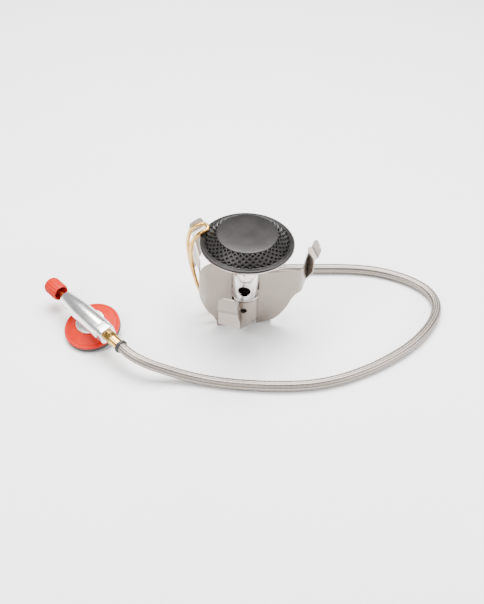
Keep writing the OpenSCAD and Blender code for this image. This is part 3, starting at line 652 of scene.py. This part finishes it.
print("tube length:", round(path_length(heat_path), 3), "m")

# %% [markdown]
# ## Lathe
# Many pieces here are turned, and a piece turned from bar is the same all round. So one
# helper turns a profile of radius and height into a closed solid. Where the profile
# starts or ends on the axis it is closed by a pole, and otherwise its last point joins
# its first, as on a ring. Milled flats would be cut by a mill. Here a third number at a
# point, half the width across four flats, pulls that ring of points in.

# %% Lathe
def lathe(name, profile, sides=128, place=None, edge=0.0, angle=30):
    work = bmesh.new()
    rings = []
    for radius, height, *flats in profile:
        ring = []
        for k in range(1 if radius == 0 else sides):
            x, y = math.cos(2 * math.pi * k / sides), math.sin(2 * math.pi * k / sides)
            out = min([radius] + [half / max(abs(x), abs(y)) for half in flats]) * MM
            ring.append(work.verts.new((out * x, out * y, height * MM)))
        rings.append(ring)
    ring_pairs = list(zip(rings, rings[1:]))
    if len(rings[0]) > 1 and len(rings[-1]) > 1:
        ring_pairs.append((rings[-1], rings[0]))
    for low, high in ring_pairs:
        for k in range(sides):
            corners = [low[k % len(low)], low[(k + 1) % len(low)],
                       high[(k + 1) % len(high)], high[k % len(high)]]
            work.faces.new(list(dict.fromkeys(corners)))
    bmesh.ops.recalc_face_normals(work, faces=work.faces)
    mesh = bpy.data.meshes.new(name)
    work.to_mesh(mesh)
    work.free()
    thing = add_object(name, mesh)
    if edge:
        bevel_edges(thing, edge, angle)
    if place:
        thing.data.transform(place)
    smooth_faces(thing.data, 40)
    return thing


# %% [markdown]
# ## Cap shell
# The flame comes out of four rows of small diamond-shaped ports in the cap's sloping
# side, between its smooth middle and its rim. Holes cut through one thick shell would
# leave ragged edges. So the cap is turned with a trough where the ports are, and a
# separate lattice lies in the trough.

# %% Cap shell
cap_r, spigot_r, spigot_z, flange_z = 30.2, 27.78, 71, 72.94
crown_z, rim_z, lattice_inner, lattice_outer = 80.6, 74, 19.7, 27.1
cap_shell = lathe("cap_shell", [
    (0, 77.4), (19, 77.4), (26.9, spigot_z), (spigot_r, spigot_z), (spigot_r, flange_z),
    (cap_r, flange_z), (cap_r, 73.5), (29.75, 73.92), (29.05, 73.98), (28.5, 73.4),
    (28.0, 73.4), (27.5, rim_z), (27.15, 74.1), (lattice_outer, 72.6), (19.75, 78.6),
    (lattice_inner, 80.1), (19.4, 80.45), (18.7, 80.62), (12, 80.78), (6, 80.86), (0, 80.88),
], sides=160, edge=0.1)
dress(cap_shell, BLACK_ANODISED, "black_anodised", "burner", "burner_cap")

# %% [markdown]
# ## Cap lattice
# The lattice is one rule: a row of diamonds, repeated with a half step, and then wound
# round a cone. One diamond with its port is made here as a flat mesh. The tree lays
# copies of it out flat, where the rows are easy to place, then winds them, gives them
# their depth and closes them.

# %% One flat diamond with its port
def diamond_cell(port_share):
    mesh = bpy.data.meshes.new("diamond")
    corners = [(0.5, 0), (0, 0.5), (-0.5, 0), (0, -0.5)]
    ports = [(x * port_share, y * port_share) for x, y in corners]
    faces = [(k, (k + 1) % 4, 4 + (k + 1) % 4, 4 + k) for k in range(4)]
    mesh.from_pydata([(x, y, 0) for x, y in corners + ports], [], faces)
    return add_object("cap_lattice", mesh)


# %% Lattice tree
def lattice_tree():
    tree, size = new_tree("wound lattice", {
        "Columns": "Int", "Rows": "Int", "Inner radius": "Float", "Row step": "Float",
        "Top": "Float", "Drop": "Float", "Depth": "Float", "Material": "Material",
    })
    columns, join_distance = size["Columns"], 0.02 * MM
    index = add_node(tree, "GeometryNodeInputIndex").outputs[0]
    row = calc(tree, "FLOOR", calc(tree, "DIVIDE", index, columns))
    column = calc(tree, "SUBTRACT", index, calc(tree, "MULTIPLY", row, columns))
    half_step = calc(tree, "MULTIPLY", calc(tree, "MODULO", row, 2.0), 0.5)
    flat = add_node(tree, "ShaderNodeCombineXYZ", X=calc(tree, "ADD", column, half_step),
                    Y=calc(tree, "MULTIPLY", row, 0.5))
    points = add_node(tree, "GeometryNodePoints", Position=flat.outputs[0],
                      Count=calc(tree, "MULTIPLY", columns, size["Rows"]))
    laid = add_node(tree, "GeometryNodeInstanceOnPoints",
                    Points=points.outputs[0], Instance=size["Geometry"])
    laid = add_node(tree, "GeometryNodeRealizeInstances", Geometry=laid.outputs[0])

    place = add_node(tree, "GeometryNodeInputPosition").outputs[0]
    split = add_node(tree, "ShaderNodeSeparateXYZ", Vector=place)
    turn = calc(tree, "DIVIDE", calc(tree, "MULTIPLY", split.outputs["X"], 2 * math.pi), columns)
    radius = calc(tree, "MULTIPLY_ADD", calc(tree, "ADD", split.outputs["Y"], 0.5),
                  calc(tree, "MULTIPLY", size["Row step"], 2.0), size["Inner radius"])
    outward = calc(tree, "SUBTRACT", radius, size["Inner radius"])
    fallen = calc(tree, "MULTIPLY", outward, size["Drop"])
    wound = add_node(
        tree, "ShaderNodeCombineXYZ",
        X=calc(tree, "MULTIPLY", radius, calc(tree, "COSINE", turn)),
        Y=calc(tree, "MULTIPLY", radius, calc(tree, "SINE", turn)),
        Z=calc(tree, "SUBTRACT", calc(tree, "SUBTRACT", size["Top"], size["Depth"]), fallen),
    )
    sheet = add_node(tree, "GeometryNodeSetPosition",
                     Geometry=laid.outputs[0], Position=wound.outputs[0])
    sheet = add_node(tree, "GeometryNodeMergeByDistance",
                     Geometry=sheet.outputs[0], Distance=join_distance)

    rise = add_node(tree, "ShaderNodeCombineXYZ", Z=size["Depth"])
    raised = add_node(tree, "GeometryNodeExtrudeMesh", Mesh=sheet.outputs[0],
                      Offset=rise.outputs[0], Offset_Scale=1.0, Individual=False)
    under = add_node(tree, "GeometryNodeFlipFaces", Mesh=sheet.outputs[0])
    both = add_node(tree, "GeometryNodeJoinGeometry")
    tree.links.new(raised.outputs[0], both.inputs[0])
    tree.links.new(under.outputs[0], both.inputs[0])
    closed = add_node(tree, "GeometryNodeMergeByDistance",
                      Geometry=both.outputs[0], Distance=join_distance)
    return finish_tree(tree, closed.outputs[0], size["Material"])


# %% Cap lattice
port_columns, port_rows = 36, 4
lattice_top, lattice_foot = crown_z - 0.35, rim_z + 0.2
lattice_width = lattice_outer - lattice_inner
cap_lattice = diamond_cell(0.6)
run_tree(cap_lattice, lattice_tree(), {
    "Columns": port_columns, "Rows": port_rows, "Inner radius": lattice_inner * MM,
    "Row step": lattice_width / (port_rows + 1) * MM, "Top": lattice_top * MM,
    "Drop": (lattice_top - lattice_foot) / lattice_width, "Depth": 1.3 * MM,
    "Material": BLACK_ANODISED,
})
bake_modifiers(cap_lattice)
bevel_edges(cap_lattice, 0.2, 40)
smooth_faces(cap_lattice.data, 40)
dress(cap_lattice, BLACK_ANODISED, "black_anodised", "burner", "burner_cap")
print("ports in the cap:", port_columns * port_rows)

# %% [markdown]
# ## Column
# The mixer tube is thick turned steel. Four round holes let air in above the jet. A
# pattern of dark discs would look flat from the side, so the holes are real. The tube is
# turned as a ring, and two long rods are cut out of it, each through both walls.

# %% Column
def cut_out(thing, cutter):
    cut = thing.modifiers.new("cut", "BOOLEAN")
    cut.operation = "DIFFERENCE"
    cut.solver = "EXACT"
    cut.object = cutter
    bake_modifiers(thing)
    bpy.data.objects.remove(cutter)


mixer_r, mixer_z, bore_r, throat_r, groove_z = 9.2, 29.5, 5.52, 5, 30.3
air_hole_r, air_hole_z, rod_reach = 4.2, 38.5, 12
column = lathe("mixer_column", [
    (bore_r, mixer_z), (mixer_r - 0.2, mixer_z), (mixer_r, mixer_z + 0.2),
    (mixer_r, groove_z - 0.3), (mixer_r - 0.25, groove_z), (mixer_r, groove_z + 0.3),
    (mixer_r, 48.9), (8.05, 54.9), (5.65, 54.9), (throat_r, 50), (throat_r, 46.2), (bore_r, 43.2),
])
for across in (265, 355):
    rod = lathe("rod", [
        (0, -rod_reach), (air_hole_r, -rod_reach), (air_hole_r, rod_reach), (0, rod_reach),
    ], sides=64)
    lie_down = Matrix.Rotation(math.radians(across), 4, "Z") @ Matrix.Rotation(math.pi / 2, 4, "Y")
    rod.data.transform(Matrix.Translation((0, 0, air_hole_z * MM)) @ lie_down)
    cut_out(column, rod)
bevel_edges(column, 0.2, 44)
smooth_faces(column.data, 42)
dress(column, COLUMN_STEEL, "turned_steel", "burner", "mixer_tube")

# %% [markdown]
# ## Where the valve lies
# The valve rests on the table at a slant, tipped a little onto its disc. Its pieces could
# be modelled slanted, but round profiles are easier upright. So they are turned upright,
# laid along the valve's own axis and then put where the hose starts.

# %% Where the valve is
body_z, hose_x, knob_x = 14.6, 36.8, -44.8
VALVE_PLACE = (
    Matrix.Translation(Vector(hose_route[0]) * MM)
    @ Matrix.Rotation(VALVE_TURN, 4, "Z") @ Matrix.Rotation(math.radians(12), 4, "X")
    @ Matrix.Translation(Vector((-hose_x, 0, -body_z)) * MM)
)


def along_valve(x):
    """Lays a shape that runs up +Z along the valve's axis, from x towards the hose."""
    start = Matrix.Translation(Vector((x, 0, body_z)) * MM)
    return VALVE_PLACE @ start @ Matrix.Rotation(math.pi / 2, 4, "Y")


hose_end = VALVE_PLACE @ (Vector((hose_x, 0, body_z)) * MM)
print("hose end of the valve:", [round(value, 4) for value in hose_end])

# %% [markdown]
# ## Knob
# The knob is a small cup with ribs for the fingers, open towards the valve. It is die
# cast and then coated. The ribs could be cut out of one thick ring. Here the cup is
# turned, and a small node tree sets one rib round it many times, because then the number
# of ribs is a single input.

# %% Rib tree
def ring_tree():
    tree, size = new_tree("ring of copies", {
        "Count": "Int", "Ring radius": "Float", "Height": "Float", "Material": "Material",
    })
    ring = add_node(tree, "GeometryNodeMeshCircle",
                    Vertices=size["Count"], Radius=size["Ring radius"])
    lift = add_node(tree, "ShaderNodeCombineXYZ", Z=size["Height"])
    ring = add_node(tree, "GeometryNodeSetPosition",
                    Geometry=ring.outputs[0], Offset=lift.outputs[0])
    index = add_node(tree, "GeometryNodeInputIndex").outputs[0]
    turn = calc(tree, "DIVIDE", calc(tree, "MULTIPLY", index, 2 * math.pi), size["Count"])
    facing = add_node(tree, "ShaderNodeCombineXYZ", Z=turn)
    copies = add_node(tree, "GeometryNodeInstanceOnPoints", Points=ring.outputs[0],
                      Instance=size["Geometry"], Rotation=facing.outputs[0])
    return finish_tree(tree, copies.outputs[0], size["Material"])


# %% Knob
knob_r, knob_len, rib_r, rib_count = 6.1, 12.8, 0.55, 18
knob_cup = lathe("knob_cup", [
    (2.4, 1), (2.4, 0), (knob_r - 1.3, 0), (knob_r - 0.55, 0.55), (knob_r - 0.4, 1.2),
    (knob_r - 0.4, knob_len - 0.5), (knob_r - 0.75, knob_len), (knob_r - 1.3, knob_len - 0.2),
    (knob_r - 1.35, 3), (3.1, 3), (3.1, 8.3), (2.9, 8.5), (1.62, 8.5), (1.62, 1.6),
    (0.95, 1.6), (0.95, 1),
], sides=96)
knob_ribs = lathe("knob_ribs", [
    (0, 0), (rib_r * 0.6, 0.08), (rib_r, 0.5), (rib_r, knob_len - 2.5),
    (rib_r * 0.6, knob_len - 2.1), (0, knob_len - 2),
], sides=12)
run_tree(knob_ribs, ring_tree(), {
    "Count": rib_count, "Ring radius": (knob_r - rib_r - 0.02) * MM, "Height": 1.1 * MM,
    "Material": RED_COAT,
})
bake_modifiers(knob_ribs)
for piece in (knob_cup, knob_ribs):
    piece.data.transform(along_valve(knob_x))
    smooth_faces(piece.data, 50)
    dress(piece, RED_COAT, "red_coat", "knob_group", "knob")

# %% [markdown]
# ## Valve body
# The valve body is turned from aluminium bar. It tapers towards the knob, and four flats
# for a spanner are milled at the hose end. The boss that screws on the canister stands
# square to it, with a wide collar above the red disc. Both are lathe profiles, so the
# flats need no cutting and every edge stays clean.

# %% Valve body
bar_r, flat_half, flats_start, flats_end = 6.8, 5.7, 15.5, 21.2
barrel = lathe("valve_barrel", [
    (3.45, -25.8), (5.2, -25.8), (5.7, -25.0), (bar_r, -8), (bar_r, flats_start - 0.2),
    (6.65, flats_start, flat_half), (bar_r, flats_start + 0.2, flat_half),
    (bar_r, flats_end, flat_half), (6.5, 21.5, 5.45), (3, 21.5), (3, 3), (2.4, 3),
    (2.4, -9), (3.45, -9),
], sides=96, edge=0.08, angle=34)
barrel.data.transform(along_valve(0))
boss_r, collar_r = 8.9, 9.8
boss = lathe("valve_boss", [
    (0, 8.6), (5.6, 8.6), (5.6, 0), (8.6, 0), (boss_r, 0.3), (boss_r, 9.25),
    (collar_r, 9.25), (collar_r, 10.9), (9.5, 11.2), (0, 11.2),
], edge=0.08, angle=34)
boss.data.transform(VALVE_PLACE)
for piece in (barrel, boss):
    smooth_faces(piece.data, 34)
    dress(piece, VALVE_ALUMINIUM, "aluminium", "burner", "valve_body")

# %% [markdown]
# ## Rounded edges
# No real edge is sharp: a stamped or turned edge has a radius of a tenth of a millimetre
# or more, and that thin line catches the light. The five pieces listed here are copies
# of the construction model's. In each copy, loose triangles are joined, flat faces are
# merged, and then the sharp edges are bevelled. The bracket sheets aren't copied: their
# bends are many narrow faces, and bevelled copies lost the folds.

# %% Rounded edges
def rounded(name, node, width):
    join_distance, flat_angle, edge_angle, smooth_angle = 0.002 * MM, 0.3, 32, 30
    mesh = frame["nodes"][node].data.copy()
    work = bmesh.new()
    work.from_mesh(mesh)
    bmesh.ops.remove_doubles(work, verts=work.verts, dist=join_distance)
    bmesh.ops.dissolve_limit(
        work, angle_limit=math.radians(flat_angle), verts=work.verts, edges=work.edges,
        delimit={"NORMAL"},
    )
    work.to_mesh(mesh)
    work.free()
    thing = add_object(name, mesh)
    bevel_edges(thing, width, edge_angle)
    smooth_faces(thing.data, smooth_angle)
    return thing


for name, node, width, material, slot in (
    ("brass_inlet", "inlet_block", 0.3, BURNER_BRASS, "brass"),
    ("coupler_disc", "disc", 0.12, RED_COAT, "red_coat"),
    ("coupler_pad", "disc_pad", 0.3, RUBBER, "rubber"),
    ("brass_union", "hose_union", 0.15, VALVE_BRASS, "brass"),
    ("union_ring", "hose_ring", 0.9, RUBBER, "rubber"),
):
    dress(rounded(name, node, width), material, slot, "burner", node)

# %% [markdown]
# ## Pieces that keep their shape
# The brackets, the cup and the small parts inside are right as the construction model has
# them. Copies would only add faces. They get a finish each, also the hidden ones, because
# the burner can be taken apart.

# %% Finishes for the kept shapes
# The baffle, jet and washer get near-black painted shade, and the jet holder and end plug a darkened steel
# as painted shade.
kept_finish = {
    "main_bracket": SHEET_STEEL, "front_bracket": SHEET_STEEL,
    "burner_cup": PRESSED_STEEL, "flame_gauze": GAUZE,
    "mixer_baffle": SHADE_BLACKENED_STEEL, "jet_holder": HOLDER_SHADE_STEEL, "end_plug": HOLDER_SHADE_STEEL,
    "jet": SHADE_BLACKENED_STEEL, "jet_washer": SHADE_BLACKENED_STEEL, "jet_filter": GAUZE, "inlet_filter": GAUZE,
    "bracket_rivets": PRESSED_STEEL, "preheat_nuts": BURNER_BRASS, "block_screws": PRESSED_STEEL,
    "burner_ferrule": BURNER_BRASS, "union_washer": COPPER, "valve_seat": VALVE_BRASS,
    "canister_seal": RUBBER, "pin_pusher": VALVE_BRASS, "gland_nut": VALVE_BRASS,
    "spindle": VALVE_BRASS, "spindle_seal": RUBBER, "knob_screw": TURNED_STEEL,
}
for node, material in kept_finish.items():
    piece = frame["nodes"][node]
    piece.data.materials.clear()
    piece.data.materials.append(material)
print("kept shapes:", len(kept_finish))

# %% [markdown]
# ## Floor and light
# A plain pale floor and three soft lamps, as in a small light tent. The widest one hangs
# overhead. Bright metal shows what stands round it, so the surroundings are pale but
# dimmer than the lamps, which leaves bright strips and darker bands on round pieces. One
# even light from all sides would be simpler, but it would make the metal look like plastic.

# %% Floor
reach, below_part = 3.0, 0.02 * MM
corners = [(-reach, -reach, 0), (reach, -reach, 0), (reach, reach, 0), (-reach, reach, 0)]
floor_mesh = bpy.data.meshes.new("floor")
floor_mesh.from_pydata(corners, [], [(0, 1, 2, 3)])
floor = add_object("floor", floor_mesh)
floor.location.z = cad_bounds[0][2] - below_part
pale = Finish("pale floor", 0, 0.8)
pale.colour(pale.ramp(pale.noise(8, 2), [(0.3, (0.93, 0.93, 0.93)), (0.7, (0.95, 0.95, 0.95))]))
floor.data.materials.append(pale.material)

# %% Lamps
def soft_lamp(name, place, size, power):
    lamp_data = bpy.data.lights.new(name, "AREA")
    lamp_data.shape = "RECTANGLE"
    lamp_data.size, lamp_data.size_y = size
    lamp_data.energy = power
    lamp = bpy.data.objects.new(name, lamp_data)
    bpy.context.scene.collection.objects.link(lamp)
    lamp.location = place
    lamp.rotation_mode = "QUATERNION"
    lamp.rotation_quaternion = (-Vector(place)).to_track_quat("-Z", "Y")
    print("lamp:", name, power, "W")


soft_lamp("overhead", (0, 0.25, 1.0), (0.9, 0.7), 44)
soft_lamp("key", (-0.5, -0.35, 0.6), (0.3, 0.3), 5)
soft_lamp("side", (0.7, -0.2, 0.35), (0.2, 0.5), 5)
world = bpy.data.worlds.new("white surroundings")
bpy.context.scene.world = world
world.use_nodes = True
surroundings = world.node_tree.nodes["Background"].inputs
surroundings["Color"].default_value = (0.95, 0.97, 1, 1)
surroundings["Strength"].default_value = 0.45
